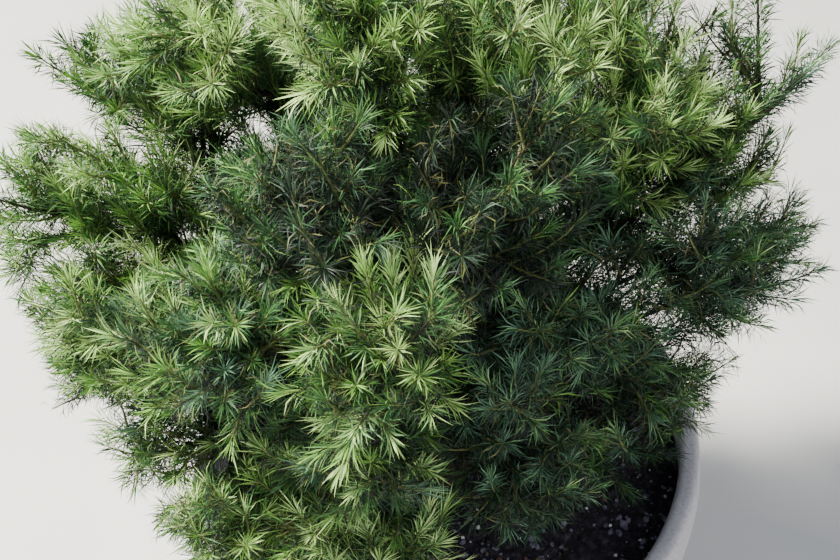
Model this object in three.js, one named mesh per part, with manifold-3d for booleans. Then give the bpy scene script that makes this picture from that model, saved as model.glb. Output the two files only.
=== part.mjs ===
// A bushy dwarf conifer in a round concrete pot, in millimetres, +Z up, with the origin at the
// centre of the pot's flat underside and -Y towards the viewer.
// A short trunk runs up through the crown. Boughs arch out from it, and each one ends where it enters
// its mass of foliage, which grows on from the bough's tip as needled shoots.

import * as THREE from "three";
import Module from "manifold-3d";

const wasm = await Module();
wasm.setup();

// Gap that neighbouring pieces keep
const CLEARANCE = 0.3;

// Pot
const POT_HEIGHT = 300;
const RIM_RADIUS = 198;
const RIM_ROUNDING = 6;
const WIDEST_RADIUS = 199;
const WIDEST_HEIGHT = 272;
const FOOT_RADIUS = 138;
const FOOT_CHAMFER = 5;
const WALL = 15;
const WALL_CURVE = 1.25;
const FLOOR = 20;
const WALL_STEPS = 8;
const POT_SEGMENTS = 32;

// Soil
const SOIL_BELOW_RIM = 30;
const SOIL_TOP = POT_HEIGHT - SOIL_BELOW_RIM;
const SOIL_MOUND = 7;
const SOIL_FLAT_RADIUS = 42;
const SOIL_SLOPE_SHARE = 0.3;
const SOIL_FROM_WALL = 0.9;

// Trunk, measured up from the soil. Its rings are shares of its height, closer together in the flare.
const TRUNK_HEIGHT = 340;
const TRUNK_FOOT_RADIUS = 13;
const TRUNK_TIP_RADIUS = 3.4;
const TRUNK_SIDES = 10;
const TRUNK_RINGS = [0, 0.025, 0.06, 0.12, 0.25, 0.4, 0.55, 0.7, 0.85, 1];
const TRUNK_LEAN = new THREE.Vector2(7, 22);
const FLARE_HEIGHT = 16;
const FLARE_SHARE = 0.75;
const FLARE_LOBES = 5;
const FLARE_LOBE_SHARE = 0.22;

// Boughs
const BOUGH_TO_TRUNK = 0.52;
const BOUGH_TIP_RADIUS = 2.7;
const BOUGH_SIDES = 5;
const BOUGH_STEPS = 3;
const BOUGH_SHARE = 0.46;
const ROOT_SHARE = 0.5;
const LOWEST_ROOT = 32;
const HIGHEST_ROOT = TRUNK_HEIGHT - 14;
const ROOT_SHIFT = 7;
const ROOT_TRIES = 24;
const BEND_SHARE = 0.5;
const WOOD_STEPS = 40;
const CLEAR_STEPS = 16;
const LIMBS_APART = 14;

// Shoots. Side shoots leave the stem from SIDE_FIRST of its length on, over SIDE_SPAN of it, one golden
// step after another, each a golden angle further round.
const STEM_GAP = 0.4;
const STEM_ROOT_SHARE = 0.5;
const CORE_RADIUS = 2.4;
const CORE_TIP_RADIUS = 1.5;
const CORE_SIDES = 3;
const NEEDLE_LENGTH = 32;
const NEEDLE_LEAN = THREE.MathUtils.degToRad(36);
const TIP_NEEDLE_LEAN = THREE.MathUtils.degToRad(66);
const NEEDLE_VARIATION = 0.24;
const SIDE_NEEDLE_LENGTH = 29;
const NEEDLE_CHECKS = [0.35, 0.7, 1];
const STEM_BAND = 29;
const SIDE_BAND = 23;
const SIDE_SHOOTS = 4;
const SIDE_FIRST = 0.08;
const SIDE_SPAN = 0.72;
const SIDE_PHASE = 0.37;
const GOLDEN_STEP = 0.618;
const SIDE_SHARE = 0.62;
const SIDE_LONGEST = 92;
const SIDE_SHORTEST = 42;
const SIDE_ANGLE = THREE.MathUtils.degToRad(52);
const SIDE_UPTURN = 0.6;
const SIDE_TRIES = 30;
const SIDE_LENGTHS = [1, 0.8, 0.62];
const GOLDEN_ANGLE = THREE.MathUtils.degToRad(137.5);
const TIP_NEEDLE_SHARE = 0.7;
const CLOSE_STEPS = 3;
const SIMPLIFY_BELOW = 0.3;
const FIRST_SEED = 101;
const SEED_STEP = 37;

// Room that shoots and needles keep
const SHOOTS_APART = 17;
const CORE_IN_ROOM = 9;
const NEEDLE_IN_ROOM = 1.5;
const NEEDLE_FROM_SHOOT = 9;
const NEEDLES_APART = 8;
const FOLIAGE_FROM_WOOD = 3;
const LOWEST_FOLIAGE = 38;

// The tiers of boughs and masses. Each entry is the place that a mass's tip reaches: the direction
// round the trunk in degrees from +X, the distance from the trunk's foot, and the height over the soil.
// arch lifts the middle of the limb, as a share of its reach, so a limb with a negative one turns up.
// A tier with onTrunk has no boughs.
const TIERS = [
  {
    name: "low",
    arch: 0.08,
    tips: [
      [-155, 206, 100],
      [-114, 178, 100],
      [-64, 146, 136],
      [-33, 170, 104],
      [-19, 200, 134],
      [-2, 280, 158],
      [40, 264, 112],
      [80, 250, 106],
      [118, 262, 112],
      [164, 300, 132],
      [-171, 238, 140],
    ],
  },
  {
    name: "middle",
    arch: -0.06,
    tips: [
      [-34, 158, 222],
      [-5, 250, 226],
      [30, 280, 232],
      [66, 262, 244],
      [104, 264, 250],
      [157, 268, 292],
      [172, 206, 256],
    ],
  },
  {
    name: "upper",
    arch: -0.22,
    tips: [
      [-150, 158, 300],
      [-99, 152, 326],
      [8, 200, 350],
      [4, 300, 322],
      [58, 226, 352],
      [98, 196, 372],
      [136, 258, 342],
    ],
  },
  {
    name: "inner",
    arch: -0.12,
    onTrunk: true,
    tips: [
      [-122, 132, 242],
      [-62, 122, 262],
      [-134, 92, 384],
      [-58, 104, 374],
    ],
  },
  {
    name: "top",
    arch: -0.2,
    onTrunk: true,
    tips: [
      [22, 128, 430],
      [128, 134, 432],
    ],
  },
];
const LEADER_HEIGHT = 458;

// Gaps in the crown that shoots and needles keep out of. Each entry is the direction of the gap's middle in
// degrees from +X, its distance from the trunk's foot, its height over the soil, and its radius.
const GAPS = [
  [-160, 266, 165, 58],
  [-161, 276, 90, 44],
  [-178, 256, 102, 36],
  [177, 311, 135, 42],
  [-13, 269, 120, 48],
  [10, 305, 155, 38],
  [-4, 293, 263, 38],
  [146, 277, 315, 40],
  [-16, 223, 92, 30],
];

// Colours
const CONCRETE = new THREE.MeshStandardMaterial({ color: 0xaaa5a0, roughness: 0.85 });
const SOIL = new THREE.MeshStandardMaterial({ color: 0x2a2624, roughness: 1 });
const BARK = new THREE.MeshStandardMaterial({ color: 0x5c4736, roughness: 0.95 });
const FOLIAGE = {
  low: new THREE.MeshStandardMaterial({ color: 0x4c6b55, roughness: 0.7 }),
  middle: new THREE.MeshStandardMaterial({ color: 0x587a58, roughness: 0.7 }),
  upper: new THREE.MeshStandardMaterial({ color: 0x6f8f5c, roughness: 0.7 }),
  inner: new THREE.MeshStandardMaterial({ color: 0x4f6b4c, roughness: 0.7 }),
  top: new THREE.MeshStandardMaterial({ color: 0x86a264, roughness: 0.7 }),
};

const UP = new THREE.Vector3(0, 0, 1);

// A repeatable source of numbers from 0 to 1
function seeded(seed) {
  let state = seed >>> 0;
  const draw = () => {
    state = (Math.imul(state, 1664525) + 1013904223) >>> 0;
    return state / 4294967296;
  };
  draw();
  draw();
  return draw;
}

function solidFromPoints(points, triangles) {
  return new wasm.Manifold(
    new wasm.Mesh({
      numProp: 3,
      vertProperties: new Float32Array(points.flatMap((point) => point.toArray())),
      triVerts: new Uint32Array(triangles),
    }),
  );
}

function geometryOf(solid) {
  const mesh = solid.getMesh();
  const geometry = new THREE.BufferGeometry();
  geometry.setAttribute("position", new THREE.BufferAttribute(mesh.vertProperties, 3));
  geometry.setIndex(new THREE.BufferAttribute(mesh.triVerts, 1));
  geometry.computeVertexNormals();
  return geometry;
}

// The largest closed body of a solid, with loose scraps and sealed hollows left out
function largestBody(solid) {
  const bodies = solid.decompose();
  return bodies.reduce((best, body) => (body.volume() > best.volume() ? body : best));
}

// The side and top directions of a section at each point of a path, carried along without twist
function sections(path) {
  const found = [];
  let side = null;
  path.forEach((point, i) => {
    const before = path[Math.max(i - 1, 0)];
    const after = path[Math.min(i + 1, path.length - 1)];
    const forward = after.clone().sub(before).normalize();
    if (!side) {
      side = new THREE.Vector3().crossVectors(forward, UP);
      if (side.length() < 0.05) side.set(1, 0, 0);
    }
    side.addScaledVector(forward, -side.dot(forward)).normalize();
    const top = new THREE.Vector3().crossVectors(side, forward);
    found.push({ point, forward, side: side.clone(), top });
  });
  return found;
}

function onSection({ point, side, top }, radius, angle) {
  return point
    .clone()
    .addScaledVector(side, radius * Math.cos(angle))
    .addScaledVector(top, radius * Math.sin(angle));
}

// A tube with flat ends through a row of sections. radiusAt gives the radius from the section's number
// and the angle round it.
function tube(row, sides, radiusAt) {
  const points = [];
  const triangles = [];
  row.forEach((section, i) => {
    for (let j = 0; j < sides; j++) {
      const angle = (-2 * Math.PI * j) / sides;
      points.push(onSection(section, radiusAt(i, angle), angle));
    }
  });
  for (let i = 0; i < row.length - 1; i++) {
    for (let j = 0; j < sides; j++) {
      const a = i * sides + j;
      const b = i * sides + ((j + 1) % sides);
      triangles.push(a, b, b + sides, a, b + sides, a + sides);
    }
  }
  const last = (row.length - 1) * sides;
  for (let j = 1; j < sides - 1; j++) {
    triangles.push(0, j + 1, j, last, last + j, last + j + 1);
  }
  return solidFromPoints(points, triangles);
}

// A slim three-sided core along a path, whose facets rise into needles that lean forward. A needle for
// which hasRoom finds none is left out, and its facet stays flat. The path's last point is the core's tip.
function needledShoot(path, hasRoom, needleLength, bareBands, draw) {
  const points = [];
  const triangles = [];
  const rings = sections(path).slice(0, -1);
  const turn = (2 * Math.PI) / CORE_SIDES;
  const addFacet = (a, b, c, ring, lean, bare) => {
    const middle = new THREE.Triangle(points[a], points[b], points[c]).getMidpoint(new THREE.Vector3());
    const outward = middle.clone().sub(ring.point);
    outward.addScaledVector(ring.forward, -outward.dot(ring.forward)).normalize();
    const length = needleLength * (1 - NEEDLE_VARIATION * draw());
    const tip = middle.clone();
    tip.addScaledVector(outward, length * Math.cos(lean));
    tip.addScaledVector(ring.forward, length * Math.sin(lean));
    if (bare || !hasRoom(NEEDLE_CHECKS.map((share) => middle.clone().lerp(tip, share)))) {
      triangles.push(a, b, c);
      return;
    }
    const top = points.push(tip) - 1;
    triangles.push(a, b, top, b, c, top, c, a, top);
  };
  rings.forEach((ring, i) => {
    const radius = THREE.MathUtils.lerp(CORE_RADIUS, CORE_TIP_RADIUS, i / (rings.length - 1));
    for (let j = 0; j < CORE_SIDES; j++) {
      points.push(onSection(ring, radius, -turn * (j + i / 2)));
    }
  });
  const at = (i, j) => i * CORE_SIDES + (j % CORE_SIDES);
  for (let i = 0; i < rings.length - 1; i++) {
    const bare = i < bareBands;
    for (let j = 0; j < CORE_SIDES; j++) {
      addFacet(at(i, j), at(i, j + 1), at(i + 1, j), rings[i], NEEDLE_LEAN, bare);
      addFacet(at(i + 1, j), at(i, j + 1), at(i + 1, j + 1), rings[i], NEEDLE_LEAN, bare);
    }
  }
  triangles.push(at(0, 0), at(0, 2), at(0, 1));
  const end = rings.length - 1;
  const coreTip = points.push(path[path.length - 1].clone()) - 1;
  for (let j = 0; j < CORE_SIDES; j++) {
    addFacet(at(end, j), at(end, j + 1), coreTip, rings[end], TIP_NEEDLE_LEAN, false);
  }
  return solidFromPoints(points, triangles);
}

// The trunk's middle at a height over the soil: it leans a little, more towards its tip
function trunkPoint(height) {
  const share = height / TRUNK_HEIGHT;
  return new THREE.Vector3(TRUNK_LEAN.x * share * share, TRUNK_LEAN.y * share * share, height);
}

function trunkRadius(height, angle) {
  const taper = THREE.MathUtils.lerp(TRUNK_FOOT_RADIUS, TRUNK_TIP_RADIUS, height / TRUNK_HEIGHT);
  const flare = FLARE_SHARE * Math.exp(-height / FLARE_HEIGHT);
  return taper * (1 + flare * (1 + FLARE_LOBE_SHARE * Math.cos(FLARE_LOBES * angle)));
}

// The trunk, or the room that it takes up with a gap round it. Its sections lie level, so its foot is flat.
function trunkSolid(gap) {
  const heights = TRUNK_RINGS.map((share) => share * TRUNK_HEIGHT);
  const side = new THREE.Vector3(1, 0, 0);
  const top = new THREE.Vector3(0, -1, 0);
  const row = heights.map((height) => ({ point: trunkPoint(height), side, top }));
  return tube(row, TRUNK_SIDES, (i, angle) => trunkRadius(heights[i], angle) + gap);
}

// A place by its direction from +X in degrees, its distance from the trunk's foot and its height over the soil
function placeAt(azimuth, distance, height) {
  const heading = THREE.MathUtils.degToRad(azimuth);
  return new THREE.Vector3(distance * Math.cos(heading), distance * Math.sin(heading), height);
}

// The whole line of a limb, from inside the trunk to the tip of its mass
function limbCurve(tier, [azimuth, reach, height], rootShift) {
  const tip = placeAt(azimuth, reach, height);
  const rootHeight = THREE.MathUtils.clamp(height * ROOT_SHARE + rootShift, LOWEST_ROOT, HIGHEST_ROOT);
  const root = trunkPoint(rootHeight);
  const bend = root.clone().lerp(tip, BEND_SHARE);
  bend.z += tier.arch * reach;
  return new THREE.QuadraticBezierCurve3(root, bend, tip);
}

function alongCurve(curve, from, to, steps) {
  const path = [];
  for (let i = 0; i <= steps; i++) {
    path.push(curve.getPoint(THREE.MathUtils.lerp(from, to, i / steps)));
  }
  return path;
}

// Every limb with its curve and the share of it that is bough. A limb's root moves up or down the trunk
// until it is clear of the limbs before it.
function planLimbs() {
  const limbs = [];
  TIERS.forEach((tier) => {
    tier.tips.forEach((tip, i) => {
      let curve;
      for (let k = 0; k < ROOT_TRIES; k++) {
        const shift = ROOT_SHIFT * Math.ceil(k / 2) * (k % 2 ? 1 : -1);
        curve = limbCurve(tier, tip, shift);
        if (limbs.every((other) => areClear(curve, other.curve))) break;
      }
      const start = tier.onTrunk ? 0 : BOUGH_SHARE;
      limbs.push({ name: `${tier.name}_${i + 1}`, tier: tier.name, curve, start });
    });
  });
  const foot = trunkPoint(TRUNK_HEIGHT);
  const crest = foot.clone().setZ(LEADER_HEIGHT);
  const curve = new THREE.QuadraticBezierCurve3(foot, foot.clone().lerp(crest, 0.5), crest);
  limbs.push({ name: "leader", tier: "top", curve, start: 0 });
  return limbs;
}

// True if two limbs keep apart from where they leave the trunk on
function areClear(curve, other) {
  const own = curve.getPoints(CLEAR_STEPS).slice(1);
  const theirs = other.getPoints(CLEAR_STEPS).slice(1);
  return areApart(own, theirs, LIMBS_APART);
}

function areApart(points, others, gap) {
  return points.every((p) => others.every((q) => p.distanceTo(q) > gap));
}

function nearest(point, others) {
  return others.reduce((least, other) => Math.min(least, other.distanceTo(point)), Infinity);
}

function isInGap(point) {
  return GAPS.some(([azimuth, distance, height, radius]) => {
    return point.distanceTo(placeAt(azimuth, distance, height)) < radius;
  });
}

// How far a point lies inside a mass's own room, where it is nearer to its own stem than to another's
function massRoom(own, limbs) {
  const others = limbs.filter((limb) => limb !== own).flatMap((limb) => closePoints(stemPath(limb), 0));
  const mine = closePoints(stemPath(own), 0);
  return (point) => {
    if (point.z < LOWEST_FOLIAGE || isInGap(point)) return -1;
    return nearest(point, others) - nearest(point, mine);
  };
}

// The radius of a bough at a share of its length
function boughRadius(limb, share) {
  const root = BOUGH_TO_TRUNK * trunkRadius(limb.curve.getPoint(0).z, 0);
  return THREE.MathUtils.lerp(root, BOUGH_TIP_RADIUS, share);
}

// A bough, or the room that it takes up with a gap round it
function boughSolid(limb, gap) {
  const row = sections(alongCurve(limb.curve, 0, limb.start, BOUGH_STEPS));
  return tube(row, BOUGH_SIDES, (i) => boughRadius(limb, i / BOUGH_STEPS) + gap);
}

// Points along the middle of the trunk and of a bough, each with the radius there
function trunkPoints() {
  return Array.from({ length: WOOD_STEPS + 1 }, (_, i) => {
    const height = (i / WOOD_STEPS) * TRUNK_HEIGHT;
    return { point: trunkPoint(height), radius: trunkRadius(height, 0) };
  });
}

function boughPoints(limb) {
  return alongCurve(limb.curve, 0, limb.start, WOOD_STEPS).map((point, i) => ({
    point,
    radius: boughRadius(limb, i / WOOD_STEPS),
  }));
}

function isClearOfWood(points, wood, gap) {
  return points.every((p) => wood.points.every(({ point, radius }) => p.distanceTo(point) > radius + gap));
}

// The stem of a mass carries on along its limb's curve, clear of the bough that it grows from. A stem on
// the trunk starts inside it and is cut clear later.
function stemPath(limb) {
  const length = limb.curve.getLength();
  const root = limb.curve.getPoint(0).z;
  const isOnTrunk = limb.start === 0 && root < TRUNK_HEIGHT;
  const gap = isOnTrunk ? STEM_ROOT_SHARE * trunkRadius(root, 0) : STEM_GAP;
  const from = limb.start + gap / length;
  const to = 1 - (TIP_NEEDLE_SHARE * NEEDLE_LENGTH) / length;
  return alongCurve(limb.curve, from, to, Math.round(((to - from) * length) / STEM_BAND) + 1);
}

// A side shoot leaves the stem at an angle, on the side that turn gives, and turns up towards its tip
function sidePath(stem, share, turn, length) {
  const at = share * (stem.length - 1);
  const i = Math.min(Math.floor(at), stem.length - 2);
  const frame = sections(stem)[i];
  const root = stem[i].clone().lerp(stem[i + 1], at - i);
  const outward = frame.side.clone().multiplyScalar(Math.cos(turn));
  outward.addScaledVector(frame.top, Math.sin(turn));
  const heading = frame.forward.clone().multiplyScalar(Math.cos(SIDE_ANGLE));
  heading.addScaledVector(outward, Math.sin(SIDE_ANGLE));
  const path = [root];
  const steps = Math.round(length / SIDE_BAND) + 1;
  for (let k = 0; k < steps; k++) {
    heading.addScaledVector(UP, SIDE_UPTURN / steps).normalize();
    path.push(path[k].clone().addScaledVector(heading, length / steps));
  }
  return path;
}

// Points close together along a path, from the one with the given number on
function closePoints(path, first) {
  const points = [];
  for (let i = first; i < path.length - 1; i++) {
    for (let k = 0; k < CLOSE_STEPS; k++) {
      points.push(path[i].clone().lerp(path[i + 1], k / CLOSE_STEPS));
    }
  }
  return points;
}

// The lines of a mass's shoots: its stem, and the side shoots that stay in the mass's room, apart from
// each other and clear of the wood. A side shoot that doesn't fit is tried shorter, and then skipped.
function planShoots(limb, room, wood, draw) {
  const stem = stemPath(limb);
  const paths = [stem];
  const axes = closePoints(stem, 0);
  const stemLength = limb.curve.getLength() * (1 - limb.start);
  const longest = THREE.MathUtils.clamp(SIDE_SHARE * stemLength, SIDE_SHORTEST, SIDE_LONGEST);
  for (let k = 0; k < SIDE_TRIES && paths.length <= SIDE_SHOOTS; k++) {
    const share = SIDE_FIRST + SIDE_SPAN * ((SIDE_PHASE + k * GOLDEN_STEP) % 1);
    const turn = GOLDEN_ANGLE * k + draw();
    const fitting = SIDE_LENGTHS.map((scale) => sidePath(stem, share, turn, longest * scale)).find(
      (path) =>
        path.slice(1).every((point) => room(point) > CORE_IN_ROOM) &&
        areApart(closePoints(path, 2), axes, SHOOTS_APART) &&
        isClearOfWood(path, wood, CORE_RADIUS + FOLIAGE_FROM_WOOD),
    );
    if (!fitting) continue;
    paths.push(fitting);
    axes.push(...closePoints(fitting, 2));
  }
  return paths;
}

// One mass of foliage: a needled stem with needled side shoots, all inside its own room
function massSolid(limb, limbs, wood, seed) {
  const draw = seeded(seed);
  const room = massRoom(limb, limbs);
  const paths = planShoots(limb, room, wood, draw);
  const needles = [];
  const shoots = paths.map((path) => {
    const isStem = path === paths[0];
    const others = paths.filter((other) => other !== path).flatMap((other) => closePoints(other, 0));
    const drawn = [];
    const hasRoom = (line) => {
      const fits =
        line.every((point) => room(point) > NEEDLE_IN_ROOM) &&
        areApart(line, others, NEEDLE_FROM_SHOOT) &&
        areApart(line, needles, NEEDLES_APART) &&
        isClearOfWood(line, wood, FOLIAGE_FROM_WOOD);
      if (fits) drawn.push(...line);
      return fits;
    };
    const length = isStem ? NEEDLE_LENGTH : SIDE_NEEDLE_LENGTH;
    const shoot = needledShoot(path, hasRoom, length, isStem ? 0 : 1, draw);
    needles.push(...drawn);
    return shoot;
  });
  const solid = wasm.Manifold.union(shoots).subtract(wood.room);
  return largestBody(solid).simplify(SIMPLIFY_BELOW);
}

// The radius of the pot's outside: it is widest just under the rim and tapers to the foot in a slight curve
function wallRadius(height) {
  if (height < WIDEST_HEIGHT) {
    const below = 1 - height / WIDEST_HEIGHT;
    return THREE.MathUtils.lerp(WIDEST_RADIUS, FOOT_RADIUS, below ** WALL_CURVE);
  }
  const above = (height - WIDEST_HEIGHT) / (POT_HEIGHT - WIDEST_HEIGHT);
  return THREE.MathUtils.lerp(WIDEST_RADIUS, RIM_RADIUS, above * above);
}

// The wall's line from one height to another, moved in from the outside by a given amount
function wallLine(from, to, inward) {
  return Array.from({ length: WALL_STEPS + 1 }, (_, i) => {
    const height = THREE.MathUtils.lerp(from, to, i / WALL_STEPS);
    return new THREE.Vector2(wallRadius(height) - inward, height);
  });
}

// The pot in section, from the middle of the underside out, up and back down inside
function potGeometry() {
  const rimFoot = POT_HEIGHT - RIM_ROUNDING;
  const outside = wallLine(FOOT_CHAMFER, rimFoot, 0);
  const inside = wallLine(rimFoot, FLOOR, WALL);
  const round = RIM_ROUNDING * (1 - Math.SQRT1_2);
  const profile = [
    new THREE.Vector2(0, 0),
    new THREE.Vector2(FOOT_RADIUS - FOOT_CHAMFER, 0),
    ...outside,
    new THREE.Vector2(RIM_RADIUS - round, POT_HEIGHT - round),
    new THREE.Vector2(RIM_RADIUS - RIM_ROUNDING, POT_HEIGHT),
    new THREE.Vector2(RIM_RADIUS - WALL + RIM_ROUNDING, POT_HEIGHT),
    new THREE.Vector2(RIM_RADIUS - WALL + round, POT_HEIGHT - round),
    ...inside,
    new THREE.Vector2(0, FLOOR),
  ];
  return new THREE.LatheGeometry(profile, POT_SEGMENTS);
}

// The soil fills the pot to just below its rim and mounds up a little round the trunk
function soilGeometry() {
  const side = wallLine(FLOOR + CLEARANCE, SOIL_TOP - SOIL_MOUND, WALL + SOIL_FROM_WALL);
  const edge = side[side.length - 1].x;
  const profile = [
    new THREE.Vector2(0, FLOOR + CLEARANCE),
    ...side,
    new THREE.Vector2((edge + SOIL_FLAT_RADIUS) / 2, SOIL_TOP - SOIL_SLOPE_SHARE * SOIL_MOUND),
    new THREE.Vector2(SOIL_FLAT_RADIUS, SOIL_TOP),
    new THREE.Vector2(0, SOIL_TOP),
  ];
  return new THREE.LatheGeometry(profile, POT_SEGMENTS);
}

function namedMesh(name, geometry, material) {
  const mesh = new THREE.Mesh(geometry, material);
  mesh.name = name;
  return mesh;
}

function potGroup() {
  const group = new THREE.Group();
  group.rotation.x = Math.PI / 2;
  group.add(namedMesh("pot", potGeometry(), CONCRETE));
  group.add(namedMesh("soil", soilGeometry(), SOIL));
  return group;
}

function plantGroup() {
  const group = new THREE.Group();
  group.position.z = SOIL_TOP + CLEARANCE;
  const limbs = planLimbs();
  const boughLimbs = limbs.filter((limb) => limb.start > 0);
  const trunkRoom = trunkSolid(CLEARANCE);
  group.add(namedMesh("trunk", geometryOf(trunkSolid(0)), BARK));
  boughLimbs.forEach((limb) => {
    const solid = largestBody(boughSolid(limb, 0).subtract(trunkRoom));
    group.add(namedMesh(`bough_${limb.name}`, geometryOf(solid), BARK));
  });
  const wood = {
    room: wasm.Manifold.union([trunkRoom, ...boughLimbs.map((limb) => boughSolid(limb, CLEARANCE))]),
    points: [...trunkPoints(), ...boughLimbs.flatMap(boughPoints)],
  };
  limbs.forEach((limb, i) => {
    const solid = massSolid(limb, limbs, wood, FIRST_SEED + SEED_STEP * i);
    group.add(namedMesh(`foliage_${limb.name}`, geometryOf(solid), FOLIAGE[limb.tier]));
  });
  return group;
}

const plant = new THREE.Group();
plant.add(potGroup(), plantGroup());

export default plant;
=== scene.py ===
# Looks for a bushy dwarf conifer in a round concrete pot.
# The plant's sizes are in millimetres over the soil, as in the part's source, and every mesh is made in
# metres in the part's frame. Limbs and shoots follow the source's rule, and finer sprays of needles grow on
# from them here.

import math

import bmesh
import bpy
import numpy as np
from mathutils import Matrix, Vector, noise


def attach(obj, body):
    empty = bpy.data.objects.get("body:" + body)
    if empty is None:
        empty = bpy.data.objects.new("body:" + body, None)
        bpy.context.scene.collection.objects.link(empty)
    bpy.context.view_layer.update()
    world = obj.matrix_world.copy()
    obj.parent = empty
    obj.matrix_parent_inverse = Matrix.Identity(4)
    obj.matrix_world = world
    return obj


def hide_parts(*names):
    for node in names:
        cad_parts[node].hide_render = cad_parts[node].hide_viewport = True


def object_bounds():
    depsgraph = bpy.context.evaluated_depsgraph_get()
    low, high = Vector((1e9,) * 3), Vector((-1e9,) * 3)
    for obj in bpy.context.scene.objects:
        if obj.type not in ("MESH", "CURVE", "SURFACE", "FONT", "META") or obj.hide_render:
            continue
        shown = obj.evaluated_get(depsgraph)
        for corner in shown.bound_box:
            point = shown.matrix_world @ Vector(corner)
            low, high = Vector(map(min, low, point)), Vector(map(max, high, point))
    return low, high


MM = 0.001
UP = np.array([0.0, 0.0, 1.0])
OFF_UPRIGHT = UP + 0.01
CLEARANCE = 0.3

# Pot and soil
POT_HEIGHT = 300
RIM_RADIUS = 198
RIM_ROUNDING = 6
WIDEST_RADIUS = 199
WIDEST_HEIGHT = 272
FOOT_RADIUS = 138
FOOT_CHAMFER = 5
FOOT_ROUNDING = 3
FOOT_LIFT = 0.4
WALL = 15
WALL_CURVE = 1.25
FLOOR = 20
SOIL_TOP = POT_HEIGHT - 30
SOIL_MOUND = 7
SOIL_FLAT_RADIUS = 42
SOIL_CURVE = 1.6
SOIL_FROM_WALL = 0.9

# Trunk
TRUNK_HEIGHT = 340
TRUNK_FOOT_RADIUS = 13
TRUNK_TIP_RADIUS = 3.4
TRUNK_LEAN = np.array([7.0, 22.0])
FLARE_HEIGHT = 16
FLARE_SHARE = 0.75
FLARE_LOBES = 5
FLARE_LOBE_SHARE = 0.22

# Boughs
BOUGH_TO_TRUNK = 0.52
BOUGH_TIP_RADIUS = 2.7
BOUGH_SHARE = 0.46
ROOT_SHARE = 0.5
LOWEST_ROOT = 32
HIGHEST_ROOT = TRUNK_HEIGHT - 14
ROOT_SHIFT = 7
ROOT_TRIES = 24
BEND_SHARE = 0.5
WOOD_STEPS = 40
CLEAR_STEPS = 16
LIMBS_APART = 14
LENGTH_STEPS = 200

# Shoots of the source's rule
LEAST_SIDE = 0.05
STEM_GAP = 0.4
STEM_ROOT_SHARE = 0.5
CORE_RADIUS = 2.4
NEEDLE_LENGTH = 32
STEM_BAND = 29
SIDE_BAND = 23
SIDE_SHOOTS = 4
SIDE_PLACES = (0.08, 0.72)
SIDE_PHASE = 0.37
GOLDEN_STEP = 0.618
SIDE_SHARE = 0.62
SIDE_LONGEST = 92
SIDE_SHORTEST = 42
SIDE_ANGLE = math.radians(52)
SIDE_UPTURN = 0.6
SIDE_TRIES = 30
SIDE_LENGTHS = [1, 0.8, 0.62]
GOLDEN_ANGLE = math.radians(137.5)
TIP_NEEDLE_SHARE = 0.7
CLOSE_STEPS = 3
FIRST_SEED = 101
SEED_STEP = 37
SHOOTS_APART = 17
CORE_IN_ROOM = 9
FOLIAGE_FROM_WOOD = 3
LOWEST_FOLIAGE = 38

# The tiers of boughs and masses: a mass's tip by its direction round the trunk in degrees from +X, its
# distance from the trunk's foot and its height over the soil. arch lifts the middle of the limb.
TIERS = [
    {
        "name": "low",
        "arch": 0.08,
        "tips": [
            (-155, 206, 100), (-114, 178, 100), (-64, 146, 136), (-33, 170, 104), (-19, 200, 134),
            (-2, 280, 158), (40, 264, 112), (80, 250, 106), (118, 262, 112), (164, 300, 132),
            (-171, 238, 140),
        ],
    },
    {
        "name": "middle",
        "arch": -0.06,
        "tips": [
            (-34, 158, 222), (-5, 250, 226), (30, 280, 232), (66, 262, 244), (104, 264, 250),
            (157, 268, 292), (172, 206, 256),
        ],
    },
    {
        "name": "upper",
        "arch": -0.22,
        "tips": [
            (-150, 158, 300), (-99, 152, 326), (8, 200, 350), (4, 300, 322), (58, 226, 352),
            (98, 196, 372), (136, 258, 342),
        ],
    },
    {
        "name": "inner",
        "arch": -0.12,
        "on_trunk": True,
        "tips": [(-122, 132, 242), (-62, 122, 262), (-134, 92, 384), (-58, 104, 374)],
    },
    {"name": "top", "arch": -0.2, "on_trunk": True, "tips": [(22, 128, 430), (128, 134, 432)]},
]
LEADER_HEIGHT = 458

# Gaps in the crown: the middle's direction in degrees from +X, its distance from the trunk's foot and its
# height over the soil, and the gap's radius
GAPS = [
    (-160, 266, 165, 58),
    (-161, 276, 90, 44),
    (-178, 256, 102, 36),
    (177, 311, 135, 42),
    (-13, 269, 120, 48),
    (10, 305, 155, 38),
    (-4, 293, 263, 38),
    (146, 277, 315, 40),
    (-16, 223, 92, 30),
]

# Finer shoots, which branch from the boughs and from the source's shoots wherever there is room. Each
# generation branches from the one before.
FINE_GENERATIONS = [
    {"tries": 24, "longest": 74, "shortest": 36},
    {"tries": 12, "longest": 48, "shortest": 30},
]
FINE_SHARE = 0.66
FINE_LENGTHS = [1, 0.78, 0.6]
FINE_APART = 15
FINE_IN_ROOM = -4
FINE_PLACES = (0.1, 0.85)
BOUGH_FIRST = 0.25
BOUGH_STEPS = 6

# How far shoots and needles keep inside their mass's space, stand out of it or fill the crown between the
# masses, and the room that they keep to the part's box, the pot's rim and the soil
SHOOT_IN_REACH = 8
SHOOT_IN_CROWN = 16
SHOOT_BETWEEN = 24
NEEDLE_OUT_OF_REACH = 15
NEEDLE_IN_CROWN = 2
NEEDLE_BETWEEN = 36
OUT_OF_BOX = 6
RIM_SIDE_ROOM = 6
RIM_TOP_ROOM = 3
LOWEST_GROWTH = 4

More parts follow.
